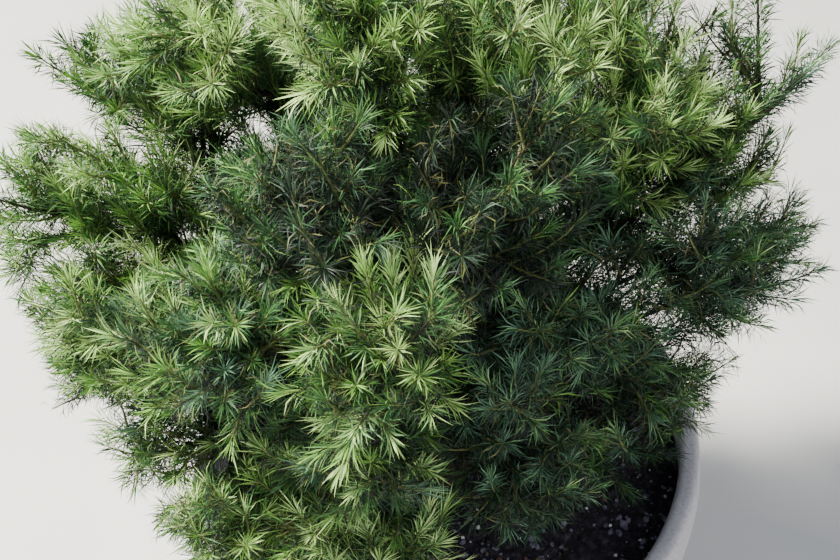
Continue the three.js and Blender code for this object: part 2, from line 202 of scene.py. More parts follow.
# Sprays: upright shoots with needles all along them
SPRAY_STEP = 6
SPRAY_APART = 16
SPRAY_LENGTHS = (24, 58)
SPRAY_ANGLE = math.radians(56)
SPRAY_TIP_ANGLE = math.radians(34)
SPRAY_UPTURN = 1.15
SPRAY_POINTS = 4
LAST_SHARE = 0.9999
SPRAY_FIRST = 5
SPRAY_LAST = 22
SPRAY_TURN_VARIATION = 0.2
SPRAY_ANGLE_VARIATION = 0.12
OWN_END = 52

# Rosettes: bunches of needles from one bud, on the wood behind the sprays
ROSETTE_STEP = 9
ROSETTE_FIRST = 4
ROSETTE_STALK = 4
ROSETTE_REACH = 14
ROSETTE_VARIATION = 0.25
BARE_OF_ROSETTES = 30

# Needles
NEEDLES_PER_MM = 1.7
TIP_NEEDLES = 6
ROSETTE_NEEDLES = 12
NEEDLE_LENGTHS = (15, 23)
ROSETTE_SHARE = 0.78
NEEDLE_WIDTH = 0.88
SLIM_SHARE = 0.88
NEEDLE_BEND = 0.55
NEEDLE_SPREAD = math.radians(60)
TIP_SPREAD = math.radians(25)
ROSETTE_SPREAD = math.radians(84)
NEEDLE_CURL = 0.5
NEEDLE_DROOP = 0.5
SLIM_CURL = 0.9
AT_TIP = (0.93, 1)
TIP_OPENINGS = (0.1, 1.1)
OPENNESS = (0.72, 1.15)
TURN_VARIATION = 0.25
SPREAD_VARIATION = 0.12
LOWEST_LENGTH_SHARE = 0.85
LENGTH_GAIN = 0.15
CURL_SHARES = (-0.4, 1)
DROOP_SHARES = (-0.2, 1)
WIDTH_SHARES = (0.8, 1.15)
FACE_VARIATION = 0.45
NEEDLE_FACES = np.array([[0, 2, 1], [1, 2, 3]])
MOST_NEEDLES = 97000
CROWN_MIDDLE = np.array([0.0, 20.0, 130.0])

# Needles near a spray's root are often a step darker than their spray, as older needles and painted shade,
# and those near its tip a step lighter, as new growth and a painted highlight. A share of all needles is a
# step lighter at random, as painted sheen.
DARK_BELOW = 0.35
DARK_ONES = 0.7
LIGHT_OVER = 0.7
LIGHT_ONES = 0.5
PAINTED_SHEEN_SHARE = 0.16

# Old needles, which hang in a tangle round the shoots
OLD_PER_MM = 1.4
OLD_LENGTHS = (9, 20)
OLD_WIDTH = 1.0
OLD_WIDTH_SHARES = (0.7, 1.1)
OLD_LEAN = (0.1, 0.6)
OLD_CURL = 0.5
OLD_DROOP = 0.45

# Shelter: how much foliage lies between a spray and the sky. A spray's depth is the share of all sprays with
# less shelter. From each of DARK_FROM its colour is one step darker, as painted shade deep in the crown, and
# FULL_SHARES says how full of needles it is at each of FULL_DEPTHS.
SHELTER_FROM = 8
SHELTER_TO = 160
SHELTER_CONE = math.cos(math.radians(42))
SKY_WAYS = 6
SKY_HEIGHT = 0.75
SHELTER_BATCH = 400
DARK_FROM = [0.3, 0.5, 0.7]
FULL_DEPTHS = [0, 0.25, 0.55, 1]
FULL_SHARES = [1.3, 1.15, 0.95, 0.45]

# Wood's look
TRUNK_RINGS = 170
TRUNK_SIDES = 40
BOUGH_RINGS = 44
BOUGH_SIDES = 14
BARK_DEPTH = 0.3
BARK_ROUND = 2.2
BARK_ALONG = 0.16
BARK_END_RINGS = 3
TRUNK_GRAIN = 3.1
BOUGH_GRAIN = 5.3
RELIEF_OCTAVES = 4
LINE_POINTS = 7
LINE_SIDES = 6
FINE_POINTS = 5
FINE_SIDES = 4
OWN_WOOD_RADIUS = 2.2
FINE_WOOD_RADIUS = 1.3
SHOOT_TIP_RADIUS = 0.3
SPRAY_WOOD_RADIUS = 1.1
SPRAY_TIP_RADIUS = 0.5
SPRAY_SIDES = 3

# Finer steps of the pot and soil, and what lies on the soil. Each of the soil's reliefs has a scale, a height
# and a seed. A lump of perlite or crumb is smallest + more, in millimetres, at the most.
POT_SIDES = 160
POT_RINGS = 40
RIM_STEPS = 8
SOIL_SIDES = 200
SOIL_TOP_RINGS = 90
SOIL_SIDE_RINGS = 6
SOIL_FADE = 8
SOIL_PLAIN_EDGE = 1
LEVEL_TOLERANCE = 0.01
SOIL_RELIEFS = [(0.09, 2.0, 2.0), (0.4, 0.8, 4.0)]
GRAINS_FROM_WALL = 5
GRAINS_FROM_AXIS = 20
PERLITE = {"count": 420, "flattest": 0.6, "smallest": 0.6, "more": 1.9, "lift": 0.6, "uneven": 0.1}
CRUMBS = {"count": 3000, "flattest": 0.5, "smallest": 1, "more": 3.2, "lift": 0.3, "uneven": 0.16}
CRUMB_SHARES = [0.5, 0.35, 0.15]
FALLEN_COUNT = 90
FALLEN_FROM_AXIS = 14
FALLEN_HALF = (5, 10)
FALLEN_WIDTH = 1.0
FALLEN_BEND = 1.5
FALLEN_SLOPE = 0.06
FALLEN_LIFT = 1.6

# Camera: the photograph's height, distance and tilt, worked out from the pot's rim
CAMERA_PLACE = (0, -597, POT_HEIGHT + 822)
CAMERA_PITCH = math.radians(46.8)
CAMERA_YAW = math.radians(1.1)
CAMERA_ROLL = math.radians(-12)
CAMERA_FIELD = math.radians(36)
CAMERA_SENSOR = 36
CAMERA_CLIP = 0.05

# Setting in metres, with each light's place, size, power in watts and colour
FLOOR_SIDE = 8
LIGHTS_AIM = (0, 0, 0.45)
LIGHTS = {
    "key": ((-1.2, 0.7, 2.5), 0.5, 300, (1.0, 0.98, 0.89)),
    "fill": ((0.9, -2.2, 1.8), 2.0, 26, (0.94, 0.97, 1.0)),
}
SKY_COLOUR = (0.78, 0.86, 1.0, 1)
SKY_STRENGTH = 0.46

# Needle colours, as sRGB, with the colour one step darker and one step lighter
COLOURS = {
    # The two darkest colours are painted shade, for needles deep in the crown.
    "hollow_shade": ((10, 16, 11), "hollow_shade", "shade"),
    "shade": ((23, 37, 25), "hollow_shade", "deep"),
    "deep": ((38, 61, 42), "shade", "pine"),
    "pine": ((54, 90, 52), "deep", "green"),
    "blue": ((60, 95, 72), "deep", "mist"),
    "mist": ((100, 137, 106), "blue", "sage"),
    "green": ((75, 119, 60), "pine", "fresh"),
    "sage": ((106, 150, 88), "green", "bright"),
    "fresh": ((134, 177, 84), "green", "bright"),
    "bright": ((188, 218, 138), "fresh", "bright"),
    "olive": ((86, 90, 48), "shade", "green"),
    "straw": ((112, 108, 66), "olive", "straw"),
}
NEEDLE_ROUGHNESS = 0.55
NEEDLE_GLOSS = 0.32
COLOUR_NAMES = list(COLOURS)
DARKER = [COLOUR_NAMES.index(darker) for _, darker, _ in COLOURS.values()]
LIGHTER = [COLOUR_NAMES.index(lighter) for _, _, lighter in COLOURS.values()]

# How often each colour is dealt to the sprays of a mass
TONES = {
    "fresh": {"pine": 0.06, "green": 0.26, "sage": 0.24, "fresh": 0.34, "bright": 0.06, "olive": 0.04},
    "mixed": {"deep": 0.12, "pine": 0.2, "blue": 0.14, "green": 0.3, "sage": 0.2, "olive": 0.04},
    "tips": {"pine": 0.14, "green": 0.2, "sage": 0.38, "fresh": 0.1, "bright": 0.16, "olive": 0.02},
    "pale": {"pine": 0.14, "green": 0.34, "sage": 0.34, "fresh": 0.1, "bright": 0.04, "olive": 0.04},
    # A real blue-green, with dark shares that paint the shade on the crown's shaded right side.
    "glaucous_and_shade": {"deep": 0.22, "blue": 0.34, "pine": 0.2, "mist": 0.22, "olive": 0.02},
    # All dark greens: painted shade for the masses in the crown's hollow.
    "inner": {"hollow_shade": 0.14, "shade": 0.3, "deep": 0.32, "pine": 0.18, "green": 0.06},
    # Olive and straw old needles, with near-black shares that are painted shade in the tangle inside the
    # crown.
    "old": {"hollow_shade": 0.2, "shade": 0.32, "deep": 0.2, "olive": 0.22, "straw": 0.06},
}

# The tone of each mass, which is mixed where none is given, and the tones whose needles are slim and hang
MASSES_BY_TONE = {
    "fresh": "middle_7 upper_3 upper_5 upper_6 top_1 top_2 leader",
    "tips": "low_2 upper_2",
    "pale": "low_1 middle_6 upper_7",
    # The masses on the crown's right side: blue-green, darkened as painted shade
    "glaucous_and_shade": "low_3 low_4 low_5 low_6 low_7 middle_1 middle_2 inner_2",
    # The masses in the crown's hollow, dark as painted shade
    "inner": "inner_3 inner_4",
}
TONE_OF_MASS = {mass: tone for tone, masses in MASSES_BY_TONE.items() for mass in masses.split()}
SLIM_TONES = ["glaucous_and_shade", "inner"]

SEED = 7
rng = np.random.default_rng(SEED)


def seeded(seed):
    """A repeatable row of numbers from 0 to 1, the same as in the part's source."""
    factor, step, size = 1664525, 1013904223, 4294967296
    state = seed

    def draw():
        nonlocal state
        state = (state * factor + step) % size
        return state / size

    draw()
    draw()
    return draw


def unit(v):
    return v / np.maximum(np.linalg.norm(v, axis=-1, keepdims=True), 1e-12)


def turned(first, second, angles):
    """Directions turned by these angles from the first to the second, which is at a right angle to it."""
    return first * np.cos(angles)[:, None] + second * np.sin(angles)[:, None]


def steps_of(path):
    return np.linalg.norm(np.diff(path, axis=-2), axis=-1)


def path_length(path):
    return steps_of(path).sum(-1)


def marks_of(path):
    """How far along a path each of its points lies."""
    return np.concatenate([[0], np.cumsum(steps_of(path))])


# Limbs


def trunk_point(height):
    share = height / TRUNK_HEIGHT
    return np.array([*(TRUNK_LEAN * share * share), height])


def trunk_radius(height, angle=0.0):
    taper = TRUNK_FOOT_RADIUS + (TRUNK_TIP_RADIUS - TRUNK_FOOT_RADIUS) * height / TRUNK_HEIGHT
    flare = FLARE_SHARE * np.exp(-height / FLARE_HEIGHT)
    return taper * (1 + flare * (1 + FLARE_LOBE_SHARE * np.cos(FLARE_LOBES * angle)))


class Curve:
    """A quadratic curve through a root, past a bend, to a tip."""

    def __init__(self, root, bend, tip):
        self.points = root, bend, tip
        self.length = path_length(self.between(0, 1, LENGTH_STEPS))

    def at(self, share):
        t = np.asarray(share, float)[..., None]
        root, bend, tip = self.points
        return (1 - t) ** 2 * root + 2 * t * (1 - t) * bend + t * t * tip

    def between(self, start, end, steps):
        return self.at(np.linspace(start, end, steps + 1))


def place_at(azimuth, distance, height):
    heading = math.radians(azimuth)
    return np.array([distance * math.cos(heading), distance * math.sin(heading), height])


def limb_curve(tier, tip, root_shift):
    _, reach, height = tip
    end = place_at(*tip)
    root = trunk_point(min(max(height * ROOT_SHARE + root_shift, LOWEST_ROOT), HIGHEST_ROOT))
    bend = root + (end - root) * BEND_SHARE + UP * tier["arch"] * reach
    return Curve(root, bend, end)


def distances(points, others):
    return np.linalg.norm(np.asarray(points)[:, None, :] - np.asarray(others)[None, :, :], axis=2)


def are_clear(curve, other):
    own = curve.between(0, 1, CLEAR_STEPS)[1:]
    theirs = other.between(0, 1, CLEAR_STEPS)[1:]
    return distances(own, theirs).min() > LIMBS_APART


def in_gaps(points):
    """Whether points lie in one of the crown's gaps."""
    middles = [place_at(*gap[:3]) for gap in GAPS]
    return (distances(points, middles) < [gap[3] for gap in GAPS]).any(1)


def plan_limbs():
    """Every limb with its name, tier, curve and the share of it that is bough."""
    limbs = []
    for tier in TIERS:
        for i, tip in enumerate(tier["tips"]):
            for k in range(ROOT_TRIES):
                shift = ROOT_SHIFT * math.ceil(k / 2) * (1 if k % 2 else -1)
                curve = limb_curve(tier, tip, shift)
                if all(are_clear(curve, other["curve"]) for other in limbs):
                    break
            start = 0 if tier.get("on_trunk") else BOUGH_SHARE
            name = f"{tier['name']}_{i + 1}"
            limbs.append({"name": name, "curve": curve, "start": start})
    foot = trunk_point(TRUNK_HEIGHT)
    crest = np.array([foot[0], foot[1], LEADER_HEIGHT])
    curve = Curve(foot, (foot + crest) / 2, crest)
    limbs.append({"name": "leader", "curve": curve, "start": 0})
    return limbs


def bough_radius(limb, share):
    root = BOUGH_TO_TRUNK * trunk_radius(limb["curve"].at(0)[2])
    return root + (BOUGH_TIP_RADIUS - root) * share


# Shoots


def stem_path(limb):
    curve = limb["curve"]
    root = curve.at(0)[2]
    on_trunk = limb["start"] == 0 and root < TRUNK_HEIGHT
    gap = STEM_ROOT_SHARE * trunk_radius(root) if on_trunk else STEM_GAP
    start = limb["start"] + gap / curve.length
    end = 1 - TIP_NEEDLE_SHARE * NEEDLE_LENGTH / curve.length
    return curve.between(start, end, round((end - start) * curve.length / STEM_BAND) + 1)


def frames(path):
    """The forward, side and top directions at each point of a path, carried along without twist."""
    after = np.vstack([path[1:], path[-1:]])
    before = np.vstack([path[:1], path[:-1]])
    forward = unit(after - before)
    side = np.cross(forward[0], UP)
    if np.linalg.norm(side) < LEAST_SIDE:
        side = np.array([1.0, 0.0, 0.0])
    sides = []
    for f in forward:
        side = unit(side - f * side.dot(f))
        sides.append(side)
    sides = np.array(sides)
    return forward, sides, np.cross(sides, forward)


def rising_path(root, heading, length, steps, upturn):
    """A path that turns up towards the light as it goes."""
    path = [root]
    for _ in range(steps):
        heading = unit(heading + UP * upturn / steps)
        path.append(path[-1] + heading * length / steps)
    return np.array(path)


def side_path(stem, share, turn, length):
    """The path of a side shoot from a share of the way along a line."""
    at = share * (len(stem) - 1)
    i = min(int(at), len(stem) - 2)
    forward, side, top = (row[i] for row in frames(stem))
    outward = side * math.cos(turn) + top * math.sin(turn)
    heading = forward * math.cos(SIDE_ANGLE) + outward * math.sin(SIDE_ANGLE)
    root = stem[i] + (stem[i + 1] - stem[i]) * (at - i)
    return rising_path(root, heading, length, int(length / SIDE_BAND + 0.5) + 1, SIDE_UPTURN)


def branches(line, tries, places, phase, lengths, draw, fits):
    """The side shoots of a line that fit, at places spread along it and round it, each as long as fits."""
    first, span = places
    for k in range(tries):
        share = first + span * ((phase + k * GOLDEN_STEP) % 1)
        turn = GOLDEN_ANGLE * k + draw()
        shoots = (side_path(line, share, turn, length) for length in lengths)
        path = next((path for path in shoots if fits(path)), None)
        if path is not None:
            yield path


def close_points(path, first):
    """Points along a path from one of its points to its tip, closer than its own."""
    shares = np.arange(CLOSE_STEPS)[None, :, None] / CLOSE_STEPS
    start, end = path[first:-1, None, :], path[first + 1 :, None, :]
    return (start + (end - start) * shares).reshape(-1, 3)


def wood_points(limbs):
    """Points along the trunk and the boughs, and the radius at each."""
    heights = np.linspace(0, TRUNK_HEIGHT, WOOD_STEPS + 1)
    points = [np.array([trunk_point(h) for h in heights])]
    radii = [trunk_radius(heights)]
    for limb in limbs:
        if limb["start"]:
            points.append(limb["curve"].between(0, limb["start"], WOOD_STEPS))
            radii.append(bough_radius(limb, np.linspace(0, 1, WOOD_STEPS + 1)))
    return np.vstack(points), np.concatenate(radii)


def plan_shoots(limb, limbs, wood, draw):
    """The lines of a mass's shoots, by the source's rule."""
    stem = stem_path(limb)
    mine = close_points(stem, 0)
    others = np.vstack([close_points(stem_path(other), 0) for other in limbs if other is not limb])
    points, radii = wood

    def room(path):
        inside = distances(path, others).min(1) - distances(path, mine).min(1)
        return np.where((path[:, 2] < LOWEST_FOLIAGE) | in_gaps(path), -1, inside)

    def fits(path):
        return (
            room(path[1:]).min() > CORE_IN_ROOM
            and distances(close_points(path, 2), axes).min() > SHOOTS_APART
            and (distances(path, points) - radii).min() > CORE_RADIUS + FOLIAGE_FROM_WOOD
        )

    paths, axes = [stem], mine
    stem_length = limb["curve"].length * (1 - limb["start"])
    longest = min(max(SIDE_SHARE * stem_length, SIDE_SHORTEST), SIDE_LONGEST)
    lengths = [longest * scale for scale in SIDE_LENGTHS]
    for path in branches(stem, SIDE_TRIES, SIDE_PLACES, SIDE_PHASE, lengths, draw, fits):
        paths.append(path)
        axes = np.vstack([axes, close_points(path, 2)])
        if len(paths) > SIDE_SHOOTS:
            break
    return paths


# Finer shoots, and the sprays that carry the needles


def along(path, distances_along):
    """Points at these distances along a path."""
    return np.stack([np.interp(distances_along, marks_of(path), path[:, k]) for k in range(3)], axis=-1)


AROUND = [(x, y, z) for x in (-1, 0, 1) for y in (-1, 0, 1) for z in (-1, 0, 1)]


class Spots:
    """Places that are taken, kept in cells so that near ones are quick to find."""

    def __init__(self, apart):
        self.apart = apart
        self.cells = {}

    def cell(self, point):
        return tuple(int(c // self.apart) for c in point)

    def add(self, points):
        for point in points.tolist():
            self.cells.setdefault(self.cell(point), []).append(point)

    def are_free(self, points):
        limit = self.apart * self.apart
        for point in points.tolist():
            x, y, z = self.cell(point)
            for dx, dy, dz in AROUND:
                for other in self.cells.get((x + dx, y + dy, z + dz), ()):
                    if sum((a - b) ** 2 for a, b in zip(point, other)) < limit:
                        return False
        return True


def reach_of(names):
    """The flat sides round all that these nodes reach, as their normals and distances."""
    hull = bmesh.new()
    for name in names:
        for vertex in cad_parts[name].data.vertices:
            hull.verts.new(vertex.co / MM)
    bmesh.ops.convex_hull(hull, input=hull.verts)
    hull.normal_update()
    normals = np.array([face.normal for face in hull.faces])
    trunk_foot = over_soil(np.zeros(3))
    on_sides = np.array([face.verts[0].co for face in hull.faces]) - trunk_foot
    middle = np.array([vertex.co for vertex in hull.verts]).mean(0) - trunk_foot
    hull.free()
    normals *= np.where(((middle - on_sides) * normals).sum(1) > 0, -1, 1)[:, None]
    return normals, (normals * on_sides).sum(1)


def outside(points, reach):
    """How far points lie outside a reach, or inside it where the number is negative."""
    normals, marks = reach
    return (points @ normals.T - marks).max(-1)


class Reaches:
    """The space of each mass with its bough, and of the whole crown."""

    def __init__(self, limbs):
        names = [[f"foliage_{limb['name']}"] for limb in limbs]
        for own, limb in zip(names, limbs):
            if limb["start"]:
                own.append(f"bough_{limb['name']}")
        self.masses = [reach_of(own) for own in names]
        self.crown = reach_of([name for own in names for name in own])

    def allow(self, points, mass, inside, between, in_crown):
        """Whether each point is inside its mass's space by one margin, or else outside it by less than the
        second and inside the crown by the third."""
        out = outside(points, self.masses[mass])
        allowed = out < -inside
        near = np.flatnonzero(~allowed & (out < between))
        allowed[near] = outside(points[near], self.crown) < -in_crown
        return allowed

    def hold(self, path, mass):
        """Whether a shoot keeps to the space of its mass or fills the crown, out of the crown's gaps."""
        inside = in_space(path).all() and not in_gaps(path).any()
        return inside and self.allow(path[1:], mass, SHOOT_IN_REACH, SHOOT_BETWEEN, SHOOT_IN_CROWN).all()


def plan_finer(lines, masses, limbs, reaches):
    """Finer shoots off the boughs and every shoot line, by the same rule, wherever there is still room."""
    stems = [close_points(stem_path(limb), 0) for limb in limbs]
    points, radii = wood_points(limbs)
    spots = Spots(FINE_APART)
    for line in lines:
        spots.add(close_points(line, 0))

    def fits(path):
        # The mass is that of the line whose branches are being grown
        if not reaches.hold(path, mass):
            return False
        if not spots.are_free(np.vstack([close_points(path, 2), path[-1:]])):
            return False
        own = distances(path[1:], stems[mass]).min(1)
        rest = [distances(path[1:], stem).min(1) for i, stem in enumerate(stems) if i != mass]
        clear = (distances(path[1:], points) - radii).min() > CORE_RADIUS
        return clear and (np.min(rest, axis=0) - own).min() > FINE_IN_ROOM

    parents = list(zip(lines, masses))
    for i, limb in enumerate(limbs):
        if limb["start"]:
            bough = limb["curve"].between(limb["start"] * BOUGH_FIRST, limb["start"], BOUGH_STEPS)
            parents.append((bough, i))
    made = []
    for generation in FINE_GENERATIONS:
        children = []
        for line, mass in parents:
            longest = min(max(FINE_SHARE * path_length(line), generation["shortest"]), generation["longest"])
            lengths = [longest * scale for scale in FINE_LENGTHS]
            phase = rng.random()
            for path in branches(line, generation["tries"], FINE_PLACES, phase, lengths, rng.random, fits):
                children.append((path, mass))
                spots.add(np.vstack([close_points(path, 1), path[-1:]]))
        made += children
        parents = children
    return [path for path, mass in made], [mass for path, mass in made]


def off_line(path, at, turn, angle):
    """Where a shoot leaves a line at a distance along it, its heading and the way out from the line there."""
    forward, side, top = frames(path)
    marks = np.linspace(0, path_length(path), len(path))
    i = min(int(np.searchsorted(marks, at)), len(path) - 1)
    outward = side[i] * math.cos(turn) + top[i] * math.sin(turn)
    return along(path, at), forward[i] * math.cos(angle) + outward * math.sin(angle), outward


def sprays_of(path, mass, reaches, spots):
    """The sprays of one shoot line: its own outer end, and more that branch off where there is room."""
    length = path_length(path)
    own_end = min(length, OWN_END)
    sprays = [along(path, np.linspace(length - own_end, length, SPRAY_POINTS))]
    spots.add(sprays[0][1:])
    turn = rng.uniform(0, math.tau)
    for at in np.arange(SPRAY_FIRST, length - SPRAY_LAST, SPRAY_STEP):
        turn += GOLDEN_ANGLE + rng.normal(0, SPRAY_TURN_VARIATION)
        angle = SPRAY_ANGLE + (SPRAY_TIP_ANGLE - SPRAY_ANGLE) * at / length
        angle += rng.normal(0, SPRAY_ANGLE_VARIATION)
        root, heading, _ = off_line(path, at, turn, angle)
        spray = rising_path(root, heading, rng.uniform(*SPRAY_LENGTHS), SPRAY_POINTS - 1, SPRAY_UPTURN)
        if reaches.hold(spray, mass) and spots.are_free(spray[2:]):
            sprays.append(spray)
            spots.add(spray[1:])
    return sprays


def rosettes_of(path, mass, reaches):
    """The short lines that the rosettes' needles grow from, all round one shoot line."""
    stalks = []
    turn = rng.uniform(0, math.tau)
    for at in np.arange(ROSETTE_FIRST, path_length(path) - BARE_OF_ROSETTES, ROSETTE_STEP):
        turn += GOLDEN_ANGLE + rng.normal(0, ROSETTE_VARIATION)
        root, heading, outward = off_line(path, at, turn, SPRAY_ANGLE)
        far_end = (root + outward * ROSETTE_REACH)[None]
        if in_space(far_end)[0] and reaches.allow(far_end, mass, 0, SHOOT_BETWEEN, 0)[0]:
            stalks.append(root + heading * np.linspace(0, ROSETTE_STALK, SPRAY_POINTS)[:, None])
    return stalks


def in_space(points):
    """Whether points lie inside the part's box, over the soil and clear of the pot's rim."""
    world = over_soil(points)
    inside = ((world > BOX[0] - OUT_OF_BOX) & (world < BOX[1] + OUT_OF_BOX)).all(-1)
    height = points[..., 2]
    from_axis = np.hypot(points[..., 0], points[..., 1])
    near_rim = from_axis > RIM_RADIUS - WALL - RIM_SIDE_ROOM
    in_rim = near_rim & (height < POT_HEIGHT - SOIL_TOP + RIM_TOP_ROOM)
    return inside & ~in_rim & (height > LOWEST_GROWTH)


def plan_lines(limbs, reaches):
    """The shoot lines of every mass, the mass of each, and how many of them are the source's own."""
    wood = wood_points(limbs)
    lines, masses = [], []
    for index, limb in enumerate(limbs):
        draw = seeded(FIRST_SEED + SEED_STEP * index)
        for line in plan_shoots(limb, limbs, wood, draw):
            lines.append(line)
            masses.append(index)
    finer, finer_masses = plan_finer(lines, masses, limbs, reaches)
    return lines + finer, masses + finer_masses, len(lines)


def shelter(points, cover):
    """How much of the cover lies over and beside each point, towards the sky all round."""
    turns = np.arange(SKY_WAYS) * math.tau / SKY_WAYS
    ways = [unit(np.array([math.cos(turn), math.sin(turn), SKY_HEIGHT])) for turn in turns]
    found = []
    for some in np.array_split(points, max(len(points) // SHELTER_BATCH, 1)):
        to_cover = cover[None] - some[:, None]
        far = np.linalg.norm(to_cover, axis=2)
        near = (far > SHELTER_FROM) & (far < SHELTER_TO)
        weight = near / np.maximum(far, SHELTER_FROM) ** 2
        least = far * SHELTER_CONE
        found.append(sum((weight * (to_cover @ way > least)).sum(1) for way in [UP, *ways]))
    return np.concatenate(found)


def depths(points, cover, shelters):
    """How deep in the foliage points lie: the share of all sprays with less shelter than each point."""
    return np.searchsorted(shelters, shelter(points, cover)) / len(shelters)


def changed(hues, change, chosen):
    """Colour numbers with the chosen ones swapped by a list of new ones, such as the darker ones."""
    return np.where(chosen, np.array(change)[hues], hues)


def tone_of(limb):
    return TONE_OF_MASS.get(limb["name"], "mixed")


def deal(tone, count=None):
    """One needle colour, or a count of them, by their numbers."""
    return rng.choice(len(COLOURS), count, p=[TONES[tone].get(name, 0) for name in COLOURS])


def grow_sprays(limbs, lines, line_masses, reaches):
    """Every spray's and rosette's points, mass and colour, and whether it is a rosette."""
    spots = Spots(SPRAY_APART)
    paths, masses, hues, kinds = [], [], [], []
    for line, mass in zip(lines, line_masses):
        tone = tone_of(limbs[mass])
        sprays = sprays_of(line, mass, reaches, spots)
        rosettes = rosettes_of(line, mass, reaches)
        paths += sprays + rosettes
        kinds += [False] * len(sprays) + [True] * len(rosettes)
        masses += [mass] * (len(sprays) + len(rosettes))
        hues += [deal(tone) for _ in sprays + rosettes]
    return np.array(paths), np.array(masses), np.array(hues), np.array(kinds)


def with_painted_shade(hues, depth):
    """Colour numbers made a step darker at each depth where it gets darker: painted shade in the crown."""
    for mark in DARK_FROM:
        hues = changed(hues, DARKER, depth > mark)
    return hues


# Needles


def placed(paths, spray, share):
    """The point at a share of each spray's path, and the directions along it, beside it and over it."""
    segments = paths.shape[1] - 1
    at = np.clip(share, 0, LAST_SHARE) * segments
    i = at.astype(int)
    start, end = paths[spray, i], paths[spray, i + 1]
    forward = unit(end - start)
    side = unit(np.cross(forward, OFF_UPRIGHT))
    return start + (end - start) * (at - i)[:, None], forward, side, np.cross(side, forward)


def blades(base, direction, bent, length, width):
    """The four corners of each needle: a slim blade bent once, with its face turned out of the crown."""
    middle = base + direction * (length * NEEDLE_BEND)[:, None]
    tip = middle + unit(bent) * (length * (1 - NEEDLE_BEND))[:, None]
    outward = unit(base - CROWN_MIDDLE) + rng.normal(0, FACE_VARIATION, (len(base), 3))
    across = unit(np.cross(direction, outward)) * (width / 2)[:, None]
    return np.stack([base, middle - across, middle + across, tip], axis=1)


def are_kept(corners, masses, reaches):
    """Whether each needle stays in the space round the part and in the reach of its own mass."""
    keep = in_space(corners).all(1)
    for mass in range(len(reaches.masses)):
        own = np.flatnonzero((masses == mass) & keep)
        tips = corners[own, -1]
        allowed = reaches.allow(tips, mass, -NEEDLE_OUT_OF_REACH, NEEDLE_BETWEEN, NEEDLE_IN_CROWN)
        keep[own] = allowed & ~in_gaps(tips)
    return keep


def grow_needles(paths, masses, hues, are_rosettes, depth, are_slim, reaches):
    """The corners, masses and colours of the needles, which open from the tip of a spray downwards."""
    full = np.interp(depth, FULL_DEPTHS, FULL_SHARES)
    along_count = np.round(path_length(paths) * NEEDLES_PER_MM * full)
    along_count = np.where(are_rosettes, 0, along_count).astype(int)
    at_end = np.where(are_rosettes, ROSETTE_NEEDLES, TIP_NEEDLES)
    totals = along_count + np.round(at_end * full).astype(int)
    spray = np.repeat(np.arange(len(paths)), totals)
    total = len(spray)
    order = np.arange(total) - np.repeat(np.cumsum(totals) - totals, totals)
    count = along_count[spray]
    at_tip = order >= count
    in_rosette = are_rosettes[spray]
    along_share = (order + rng.random(total)) / np.maximum(count, 1)
    share = np.where(at_tip, rng.uniform(*AT_TIP, total), along_share)
    base, forward, side, top = placed(paths, spray, share)
    turn = order * GOLDEN_ANGLE + rng.normal(0, TURN_VARIATION, total) + spray
    outward = turned(side, top, turn)

    openness = rng.uniform(*OPENNESS, len(paths))[spray]
    spread = (NEEDLE_SPREAD + (TIP_SPREAD - NEEDLE_SPREAD) * share) * openness
    widest = np.where(in_rosette, ROSETTE_SPREAD, TIP_SPREAD * openness)
    spread = np.where(at_tip, widest * rng.uniform(*TIP_OPENINGS, total), spread)
    spread += rng.normal(0, SPREAD_VARIATION, total)
    length = rng.uniform(*NEEDLE_LENGTHS, total) * (LOWEST_LENGTH_SHARE + LENGTH_GAIN * share)
    length *= np.where(in_rosette, ROSETTE_SHARE, 1)
    direction = turned(forward, outward, spread)
    slim = are_slim[masses[spray]]
    later = spread + np.where(slim, SLIM_CURL, NEEDLE_CURL) * rng.uniform(*CURL_SHARES, total)
    droop = NEEDLE_DROOP * np.where(slim, 1, np.clip(1 - share, 0, 1))
    bent = turned(forward, outward, later) - UP * (droop * rng.uniform(*DROOP_SHARES, total))[:, None]
    width = NEEDLE_WIDTH * np.where(slim, SLIM_SHARE, 1) * rng.uniform(*WIDTH_SHARES, total)
    corners = blades(base, direction, bent, length, width)
    keep = are_kept(corners, masses[spray], reaches)
    draw = rng.random(total)
    # Darker roots and lighter tips are partly painted shade and painted highlights; the random lighter
    # needles paint sheen.
    hue = changed(hues[spray], DARKER, ~at_tip & (share < DARK_BELOW) & (draw < DARK_ONES))
    is_light = at_tip | (share > LIGHT_OVER) & (draw < LIGHT_ONES)
    hue = changed(hue, LIGHTER, ~in_rosette & is_light)
    hue = changed(hue, LIGHTER, rng.random(total) < PAINTED_SHEEN_SHARE)
    return corners[keep], masses[spray][keep], hue[keep]


def grow_old_needles(lines, masses, cover, shelters, reaches):
    """The fine, curled old needles that hang in a tangle round the shoot lines."""
    lengths = np.array([path_length(line) for line in lines])
    paths = np.array([along(line, np.linspace(0, own, LINE_POINTS)) for line, own in zip(lines, lengths)])
    depth = depths(paths[:, LINE_POINTS // 2], cover, shelters)
    full = np.interp(depth, FULL_DEPTHS, FULL_SHARES)
    line = np.repeat(np.arange(len(lines)), np.round(lengths * OLD_PER_MM * full).astype(int))
    total = len(line)
    base, forward, side, top = placed(paths, line, rng.random(total))
    outward = turned(side, top, rng.uniform(0, math.tau, total))
    direction = unit(outward + forward * rng.normal(*OLD_LEAN, total)[:, None])
    bent = direction + rng.normal(0, OLD_CURL, (total, 3)) - UP * OLD_DROOP
    length = rng.uniform(*OLD_LENGTHS, total)
    corners = blades(base, direction, bent, length, OLD_WIDTH * rng.uniform(*OLD_WIDTH_SHARES, total))
    mass = np.array(masses)[line]
    keep = are_kept(corners, mass, reaches)
    # Old needles deep in the crown get a step darker: painted shade.
    hue = with_painted_shade(deal("old", total), depth[line])
    return corners[keep], mass[keep], hue[keep]


# Meshes


def add_object(name, data):
    made = bpy.data.objects.new(name, data)
    bpy.context.scene.collection.objects.link(made)
    return made


